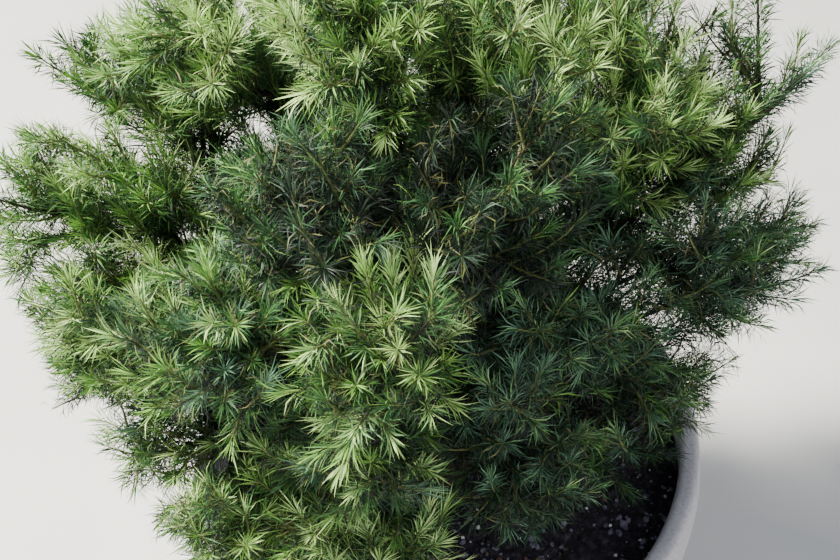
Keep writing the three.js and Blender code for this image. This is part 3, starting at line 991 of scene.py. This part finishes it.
def piece(name, points, faces, materials, index=None, smooth=True):
    """A mesh object from arrays of points in millimetres over the pot's foot, and of triangles."""
    mesh = bpy.data.meshes.new(name)
    mesh.vertices.add(len(points))
    mesh.vertices.foreach_set("co", np.ascontiguousarray(points * MM, np.float32).ravel())
    mesh.loops.add(faces.size)
    mesh.loops.foreach_set("vertex_index", np.ascontiguousarray(faces, np.int32).ravel())
    mesh.polygons.add(len(faces))
    mesh.polygons.foreach_set("loop_start", np.arange(0, faces.size, faces.shape[1], dtype=np.int32))
    if index is not None:
        mesh.polygons.foreach_set("material_index", np.ascontiguousarray(index, np.int32))
    mesh.update(calc_edges=True)
    mesh.validate()
    mesh.polygons.foreach_set("use_smooth", np.full(len(mesh.polygons), smooth))
    for material in materials:
        mesh.materials.append(material)
    made = add_object(name, mesh)
    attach(made, "root")
    return made


def over_soil(points):
    return points + UP * (SOIL_TOP + CLEARANCE)


def copies(corners, faces):
    """The points and faces of many pieces with the same faces, from an array of their corners."""
    shift = np.arange(len(corners))[:, None, None] * corners.shape[1]
    return corners.reshape(-1, 3), (faces[None] + shift).reshape(-1, faces.shape[1])


def tubes(paths, radii, sides):
    """Tapered open tubes along paths that all have the same number of points."""
    forward = unit(np.gradient(paths, axis=1))
    side = unit(np.cross(forward, OFF_UPRIGHT))
    top = np.cross(side, forward)
    angles = np.arange(sides) * math.tau / sides
    rings = turned(side[:, :, None], top[:, :, None], angles)
    rings = paths[:, :, None] + rings * radii[:, :, None, None]
    return rings.reshape(len(paths), -1, 3), ring_faces(paths.shape[1], sides)


def ring_faces(rings, sides):
    """Triangles between neighbouring rings of the same number of points."""
    r, s = np.meshgrid(np.arange(rings - 1), np.arange(sides), indexing="ij")
    a, b = r * sides + s, r * sides + (s + 1) % sides
    c, d = b + sides, a + sides
    return np.stack([a, b, c, a, c, d], axis=-1).reshape(-1, 3)


def lathe(profile, sides):
    """A surface turned round Z from (radius, height) points that start and end on the axis."""
    angles = np.arange(sides) * math.tau / sides
    r, z = np.array(profile).T
    rows = r[:, None] * np.cos(angles), r[:, None] * np.sin(angles), z[:, None]
    rings = np.stack(np.broadcast_arrays(*rows), -1)
    return rings.reshape(-1, 3), ring_faces(len(profile), sides)


# Wood


def relief(points, scale, depth, seed):
    """An uneven amount for each point, from smooth noise of its place."""
    offset = Vector((seed, -seed, 2 * seed))
    rough = [noise.fractal(Vector(point * scale) + offset, 1, 2, RELIEF_OCTAVES) for point in points]
    return depth * np.array(rough)


def bark_tube(path, radii, sides, grain):
    """A limb with scaly bark: its rings are pushed in and out by noise drawn out along the limb."""
    corners, faces = tubes(path[None], np.ones((1, len(path))), sides)
    outward = corners[0].reshape(len(path), sides, 3) - path[:, None]
    marks = outward * BARK_ROUND + UP * (marks_of(path) * BARK_ALONG)[:, None, None]
    rough = relief(marks.reshape(-1, 3), 1, 1, grain).reshape(len(path), sides)
    ends = np.minimum(1, np.arange(len(path))[::-1] / BARK_END_RINGS)
    size = radii * (1 + BARK_DEPTH * rough * ends[:, None])
    return (path[:, None] + outward * size[:, :, None]).reshape(-1, 3), faces


def joined(parts):
    """One array of points and one of faces from several."""
    points, faces, shift = [], [], 0
    for own_points, own_faces in parts:
        points.append(own_points)
        faces.append(own_faces + shift)
        shift += len(own_points)
    return np.vstack(points), np.vstack(faces)


def make_bark(limbs, material):
    heights = np.linspace(0, TRUNK_HEIGHT, TRUNK_RINGS)
    path = np.array([trunk_point(h) for h in heights])
    angles = np.arange(TRUNK_SIDES) * math.tau / TRUNK_SIDES
    parts = [bark_tube(path, trunk_radius(heights[:, None], angles), TRUNK_SIDES, TRUNK_GRAIN)]
    boughs = [limb for limb in limbs if limb["start"]]
    for i, limb in enumerate(boughs):
        path = limb["curve"].between(0, limb["start"], BOUGH_RINGS)
        radii = bough_radius(limb, np.linspace(0, 1, BOUGH_RINGS + 1))[:, None]
        parts.append(bark_tube(path, radii, BOUGH_SIDES, BOUGH_GRAIN + i))
    points, faces = joined(parts)
    bark = piece("bark", over_soil(points), faces, [material])
    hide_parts("trunk", *(f"bough_{limb['name']}" for limb in boughs))


def make_shoots(paths, lines, own_count, materials):
    """The brown wood of the source's shoots, and the green stems of the finer ones and of the sprays."""
    kinds = [
        (lines[:own_count], OWN_WOOD_RADIUS, LINE_POINTS, LINE_SIDES),
        (lines[own_count:], FINE_WOOD_RADIUS, FINE_POINTS, FINE_SIDES),
    ]
    parts = []
    for some, root, count, sides in kinds:
        points = np.array([along(line, np.linspace(0, path_length(line), count)) for line in some])
        radii = np.tile(np.linspace(root, SHOOT_TIP_RADIUS, count), (len(some), 1))
        parts.append(copies(*tubes(points, radii, sides)))
    first = len(parts[0][1])
    radii = np.linspace(SPRAY_WOOD_RADIUS, SPRAY_TIP_RADIUS, SPRAY_POINTS)
    parts.append(copies(*tubes(paths, np.tile(radii, (len(paths), 1)), SPRAY_SIDES)))
    points, faces = joined(parts)
    index = (np.arange(len(faces)) >= first).astype(int)
    made = piece("shoots", over_soil(points), faces, materials, index)


# Foliage


def make_needles(limbs, needles, materials):
    """Pieces of needles, each with whole masses and no more than MOST_NEEDLES needles."""
    corners, masses, hues = needles
    counts = np.bincount(masses, minlength=len(limbs))
    group, total = [], 0
    groups = [group]
    for i, count in enumerate(counts):
        if total + count > MOST_NEEDLES:
            group, total = [], 0
            groups.append(group)
        group.append(i)
        total += count
    for number, group in enumerate(groups, 1):
        chosen = np.isin(masses, group)
        points, faces = copies(corners[chosen], NEEDLE_FACES)
        index = np.repeat(hues[chosen], len(NEEDLE_FACES))
        made = piece(f"needles_{number}", over_soil(points), faces, materials, index)
        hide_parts(*(f"foliage_{limbs[i]['name']}" for i in group))


# Pot and soil


def wall_radius(height):
    height = np.asarray(height, float)
    below = np.maximum(1 - height / WIDEST_HEIGHT, 0)
    above = np.maximum(height - WIDEST_HEIGHT, 0) / (POT_HEIGHT - WIDEST_HEIGHT)
    radius = WIDEST_RADIUS + (FOOT_RADIUS - WIDEST_RADIUS) * below**WALL_CURVE
    return radius + (RIM_RADIUS - WIDEST_RADIUS) * above**2


def arc(middle, radius, start, end, steps):
    angles = np.radians(np.linspace(start, end, steps))
    return [(middle[0] + radius * math.cos(a), middle[1] + radius * math.sin(a)) for a in angles]


def make_pot(material):
    rim_foot = POT_HEIGHT - RIM_ROUNDING
    outside = np.linspace(FOOT_CHAMFER, rim_foot, POT_RINGS)
    inside = np.linspace(rim_foot, FLOOR, POT_RINGS)
    outer = [(float(wall_radius(h)), h) for h in outside]
    inner = [(float(wall_radius(h)) - WALL, h) for h in inside]
    lip = arc((outer[-1][0] - RIM_ROUNDING, rim_foot), RIM_ROUNDING, 0, 90, RIM_STEPS)
    lip += arc((inner[0][0] + RIM_ROUNDING, rim_foot), RIM_ROUNDING, 90, 180, RIM_STEPS)
    foot = FOOT_RADIUS - FOOT_CHAMFER
    bottom = [(0, 0), (foot - FOOT_ROUNDING, 0), (foot, FOOT_LIFT)]
    profile = [*bottom, *outer, *lip[1:-1], *inner, (0, FLOOR)]
    points, faces = lathe(profile, POT_SIDES)
    pot = piece("planter", points, faces, [material])
    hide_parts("pot")


def soil_height(radius):
    edge = float(wall_radius(SOIL_TOP - SOIL_MOUND)) - WALL - SOIL_FROM_WALL
    slope = np.clip((radius - SOIL_FLAT_RADIUS) / (edge - SOIL_FLAT_RADIUS), 0, 1)
    return SOIL_TOP - SOIL_MOUND * slope**SOIL_CURVE


def make_soil(material):
    """The soil, with crumbs in its top, down to the pot's floor."""
    side = np.linspace(FLOOR + CLEARANCE, SOIL_TOP - SOIL_MOUND, SOIL_SIDE_RINGS)
    radii = wall_radius(side) - WALL - SOIL_FROM_WALL
    top = np.linspace(radii[-1], 0, SOIL_TOP_RINGS)[1:]
    profile = [(0, side[0]), *zip(radii, side), *((r, float(soil_height(r))) for r in top)]
    points, faces = lathe(profile, SOIL_SIDES)
    from_axis = np.hypot(points[:, 0], points[:, 1])
    is_high = points[:, 2] > side[-1] - LEVEL_TOLERANCE
    is_top = is_high & (from_axis < radii[-1] - SOIL_PLAIN_EDGE)
    crumbs = sum(relief(points[is_top], *numbers) for numbers in SOIL_RELIEFS)
    points[is_top, 2] += crumbs * np.clip((radii[-1] - from_axis[is_top]) / SOIL_FADE, 0, 1)
    soil = piece("potting_soil", points, faces, [material])
    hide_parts("soil")


def scatter_on_soil(count, least):
    """Places on the soil, evenly spread from a least distance to the pot's axis, and a turn for each."""
    edge = float(wall_radius(SOIL_TOP - SOIL_MOUND)) - WALL - GRAINS_FROM_WALL
    radius = np.sqrt(rng.uniform(least**2, edge**2, count))
    angle = rng.uniform(0, math.tau, count)
    places = np.stack([radius * np.cos(angle), radius * np.sin(angle), soil_height(radius)], -1)
    return places, rng.uniform(0, math.tau, count)


def lumps_on_soil(kind, fineness):
    """Rough rounded lumps, from a ball of twenty faces, or of eighty at fineness 2."""
    count = kind["count"]
    places, turns = scatter_on_soil(count, GRAINS_FROM_AXIS)
    sizes = rng.uniform(kind["flattest"], 1, (count, 3))
    sizes *= kind["smallest"] + kind["more"] * rng.random((count, 1)) ** 2
    made = bmesh.new()
    bmesh.ops.create_icosphere(made, subdivisions=fineness, radius=1)
    ball = np.array([v.co for v in made.verts])
    faces = np.array([[v.index for v in f.verts] for f in made.faces])
    made.free()
    shapes = ball[None] * (1 + rng.normal(0, kind["uneven"], (count, len(ball), 1)))
    x, y, z = np.moveaxis(shapes * sizes[:, None, :], 2, 0)
    cos, sin = np.cos(turns)[:, None], np.sin(turns)[:, None]
    middles = places + UP * kind["lift"]
    return copies(np.stack([x * cos - y * sin, x * sin + y * cos, z], -1) + middles[:, None], faces)


def make_grains(perlite, crumb_looks, straw):
    """Perlite, crumbs of peat and bark, and fallen needles that lie on the soil."""
    grains = piece("perlite", *lumps_on_soil(PERLITE, 2), [perlite])

    points, faces = lumps_on_soil(CRUMBS, 1)
    dealt = rng.choice(len(crumb_looks), CRUMBS["count"], p=CRUMB_SHARES)
    index = np.repeat(dealt, len(faces) // CRUMBS["count"])
    crumbs = piece("crumbs", points, faces, crumb_looks, index, False)

    places, turns = scatter_on_soil(FALLEN_COUNT, FALLEN_FROM_AXIS)
    heading = np.stack([np.cos(turns), np.sin(turns), rng.normal(0, FALLEN_SLOPE, FALLEN_COUNT)], -1)
    across = np.cross(heading, UP)
    half = heading * rng.uniform(*FALLEN_HALF, (FALLEN_COUNT, 1))
    middle = places + UP * FALLEN_LIFT
    bend = middle + across * rng.normal(0, FALLEN_BEND, (FALLEN_COUNT, 1))
    side = across * FALLEN_WIDTH / 2
    corners = np.stack([middle - half, bend - side, bend + side, middle + half], axis=1)
    fallen = piece("fallen_needles", *copies(corners, NEEDLE_FACES), [straw])


# Materials


def linear(colour):
    """A Blender colour from sRGB values of 0 to 255."""
    shares = [c / 255 for c in colour]
    return [c / 12.92 if c < 0.04045 else ((c + 0.055) / 1.055) ** 2.4 for c in shares] + [1]


class Look:
    """A material with one Principled shader, and short ways to add its nodes."""

    def __init__(self, name, roughness, colour=(128, 128, 128)):
        self.material = bpy.data.materials.new(name)
        self.material.use_nodes = True
        self.nodes = self.material.node_tree.nodes
        self.shader = self.nodes["Principled BSDF"]
        self.shader.inputs["Roughness"].default_value = roughness
        self.shader.inputs["Base Color"].default_value = linear(colour)
        self.place = None

    def link(self, output, node_input):
        self.material.node_tree.links.new(output, node_input)

    def add(self, kind, **inputs):
        """A new node, with each of its inputs linked to a socket or set to a plain value."""
        node = self.nodes.new(f"ShaderNode{kind}")
        for name, value in inputs.items():
            if isinstance(value, bpy.types.NodeSocket):
                self.link(value, node.inputs[name])
            else:
                node.inputs[name].default_value = value
        return node

    def noise(self, scale, detail, stretch=(1, 1, 1), cells=False):
        """The value of a noise or cell pattern of the object's own place, scale in features per metre."""
        if self.place is None:
            self.place = self.add("TexCoord").outputs["Object"]
        place = self.add("Mapping", Vector=self.place, Scale=stretch).outputs["Vector"]
        kind, output = ("TexVoronoi", "Distance") if cells else ("TexNoise", "Fac")
        return self.add(kind, Vector=place, Scale=scale, Detail=detail).outputs[output]

    def ramp(self, value, stops):
        """A colour ramp of the value, from (place, sRGB) stops."""
        ramp = self.add("ValToRGB", Fac=value)
        marks = ramp.color_ramp.elements
        while len(marks) < len(stops):
            marks.new(1)
        for mark, (place, colour) in zip(marks, stops):
            mark.position = place
            mark.color = linear(colour)
        return ramp.outputs["Color"]

    def mix(self, share, first, second, blend="MIX"):
        """Two colours mixed by a plain number."""
        mix = self.add("Mix")
        mix.data_type = "RGBA"
        mix.blend_type = blend
        mix.inputs["Factor"].default_value = share
        self.link(first, mix.inputs["A"])
        self.link(second, mix.inputs["B"])
        return mix.outputs["Result"]

    def colour(self, output):
        self.link(output, self.shader.inputs["Base Color"])

    def bump(self, value, strength, distance):
        """Bumps from a value, on top of any that the shader has already."""
        bump = self.add("Bump", Strength=strength, Distance=distance, Height=value)
        normal = self.shader.inputs["Normal"]
        if normal.links:
            self.link(normal.links[0].from_socket, bump.inputs["Normal"])
        self.link(bump.outputs["Normal"], normal)


def concrete():
    """Smooth cast concrete: a pale warm grey with a lavender cast, faint clouds and fine pores."""
    look = Look("concrete", 0.72)
    cloud_tones = [(0.3, (168, 164, 176)), (0.52, (194, 189, 197)), (0.72, (212, 206, 208))]
    grain_tones = [(0.3, (150, 142, 146)), (0.5, (204, 196, 192)), (0.7, (236, 230, 220))]
    pore_tones = [(0.09, (120, 112, 112)), (0.16, (255, 255, 255))]
    clouds = look.ramp(look.noise(9, 5), cloud_tones)
    grains = look.ramp(look.noise(420, 3), grain_tones)
    colour = look.mix(0.28, clouds, grains)
    pores = look.ramp(look.noise(260, 2, cells=True), pore_tones)
    look.colour(look.mix(0.5, colour, pores, "MULTIPLY"))
    look.bump(look.noise(60, 5), 0.16, 0.0012)
    look.bump(look.noise(520, 4), 0.22, 0.0006)
    return look.material


def potting_soil():
    """Damp peat with a violet cast, full of crumbs."""
    look = Look("potting_soil", 0.92)
    crumb_tones = [(0.34, (18, 16, 22)), (0.52, (42, 37, 48)), (0.66, (72, 64, 74)), (0.8, (104, 94, 96))]
    crumbs = look.ramp(look.noise(190, 6), crumb_tones)
    patches = look.ramp(look.noise(24, 4), [(0.35, (150, 140, 150)), (0.65, (255, 246, 240))])
    look.colour(look.mix(0.6, crumbs, patches, "MULTIPLY"))
    look.bump(look.noise(240, 6), 0.9, 0.003)
    look.bump(look.noise(700, 3, cells=True), 0.6, 0.0012)
    return look.material


def grain(name, dark, pale, scale, roughness=0.85):
    """A plain grainy material that runs from a dark to a pale tone."""
    look = Look(name, roughness)
    look.colour(look.ramp(look.noise(scale, 4), [(0.34, dark), (0.66, pale)]))
    look.bump(look.noise(scale * 3, 4), 0.5, 0.0006)
    return look.material


def bark_look():
    """Scaly grey-brown bark."""
    look = Look("bark", 0.88)
    scales = look.noise(120, 3, (1, 1, 0.35), cells=True)
    wood_tones = [(0.3, (44, 32, 26)), (0.5, (88, 68, 52)), (0.7, (132, 110, 86))]
    wood = look.ramp(look.noise(150, 6, (1, 1, 0.3)), wood_tones)
    cracks = look.ramp(scales, [(0.05, (255, 255, 255)), (0.6, (110, 96, 88))])
    look.colour(look.mix(0.7, wood, cracks, "MULTIPLY"))
    look.bump(scales, 0.7, 0.002)
    look.bump(look.noise(420, 5), 0.5, 0.0008)
    return look.material


def needle_looks():
    looks = []
    for name, (colour, _, _) in COLOURS.items():
        look = Look(f"needle_{name}", NEEDLE_ROUGHNESS, colour)
        look.shader.inputs["Specular IOR Level"].default_value = NEEDLE_GLOSS
        looks.append(look.material)
    return looks


# Setting


def place_camera():
    cos, sin = math.cos(CAMERA_PITCH), math.sin(CAMERA_PITCH)
    ahead = Vector((math.sin(CAMERA_YAW) * cos, math.cos(CAMERA_YAW) * cos, -sin))
    right = ahead.cross(Vector(UP)).normalized()
    up = right.cross(ahead)
    cos, sin = math.cos(CAMERA_ROLL), math.sin(CAMERA_ROLL)
    turned_right, turned_up = cos * right + sin * up, cos * up - sin * right
    camera = add_object("camera", bpy.data.cameras.new("camera"))
    camera.data.sensor_width = CAMERA_SENSOR
    camera.data.angle = CAMERA_FIELD
    camera.data.clip_start = CAMERA_CLIP
    turn = Matrix((turned_right, turned_up, -ahead)).transposed().to_4x4()
    camera.matrix_world = Matrix.Translation(Vector(CAMERA_PLACE) * MM) @ turn
    bpy.context.scene.camera = camera


def add_light(name, place, size, power, colour):
    """A square soft light that faces the plant."""
    light = bpy.data.lights.new(name, "AREA")
    light.size = size
    light.energy = power
    light.color = colour
    lamp = add_object(name, light)
    lamp.location = place
    aim = Vector(LIGHTS_AIM) - Vector(place)
    lamp.rotation_euler = aim.to_track_quat("-Z", "Y").to_euler()


def make_setting():
    floor = Look("pale_floor", 0.9)
    floor.colour(floor.ramp(floor.noise(3, 3), [(0.3, (214, 212, 208)), (0.7, (226, 224, 220))]))
    half = FLOOR_SIDE / 2
    corners = [(-half, -half, 0), (half, -half, 0), (half, half, 0), (-half, half, 0)]
    mesh = bpy.data.meshes.new("floor")
    mesh.from_pydata(corners, [], [(0, 1, 2, 3)])
    mesh.materials.append(floor.material)
    ground = add_object("floor", mesh)
    place_camera()
    for name, settings in LIGHTS.items():
        add_light(name, *settings)
    world = bpy.data.worlds.new("studio")
    world.use_nodes = True
    sky = world.node_tree.nodes["Background"]
    sky.inputs["Color"].default_value = SKY_COLOUR
    sky.inputs["Strength"].default_value = SKY_STRENGTH
    bpy.context.scene.world = world


def main():
    materials = needle_looks()
    limbs = plan_limbs()
    reaches = Reaches(limbs)
    lines, line_masses, own_count = plan_lines(limbs, reaches)
    paths, masses, hues, are_rosettes = grow_sprays(limbs, lines, line_masses, reaches)
    cover = paths[:, SPRAY_POINTS // 2]
    shelters = np.sort(shelter(cover, cover))
    depth = depths(paths[:, -1], cover, shelters)
    are_slim = np.array([tone_of(limb) in SLIM_TONES for limb in limbs])
    # Sprays deep in the crown are dealt darker colours: painted shade.
    kinds = [
        grow_needles(paths, masses, with_painted_shade(hues, depth), are_rosettes, depth, are_slim, reaches),
        grow_old_needles(lines, line_masses, cover, shelters, reaches),
    ]
    needles = [np.concatenate(rows) for rows in zip(*kinds)]
    wood = bark_look()
    twig = grain("young_wood", (92, 96, 50), (140, 146, 84), 300, 0.6)
    make_bark(limbs, wood)
    make_shoots(paths[~are_rosettes], lines, own_count, [wood, twig])
    make_needles(limbs, needles, materials)
    make_pot(concrete())
    make_soil(potting_soil())
    perlite = grain("perlite", (206, 204, 200), (244, 242, 236), 600)
    crumb_looks = [
        grain("dark_crumb", (22, 18, 22), (52, 44, 50), 260),
        grain("violet_crumb", (78, 72, 90), (142, 134, 154), 260),
        grain("bark_crumb", (48, 36, 32), (116, 94, 80), 260),
    ]
    straw = grain("fallen_needle", (82, 62, 44), (132, 108, 78), 200, 0.7)
    make_grains(perlite, crumb_looks, straw)
    make_setting()


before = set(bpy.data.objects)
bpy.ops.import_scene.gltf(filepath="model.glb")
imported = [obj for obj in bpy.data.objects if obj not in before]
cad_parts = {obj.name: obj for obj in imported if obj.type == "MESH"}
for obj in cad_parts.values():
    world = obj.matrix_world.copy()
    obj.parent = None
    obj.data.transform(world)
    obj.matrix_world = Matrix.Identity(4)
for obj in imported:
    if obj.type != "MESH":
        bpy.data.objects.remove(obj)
cad_bounds = [list(corner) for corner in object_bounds()]
BOX = np.array(cad_bounds) / MM
main()
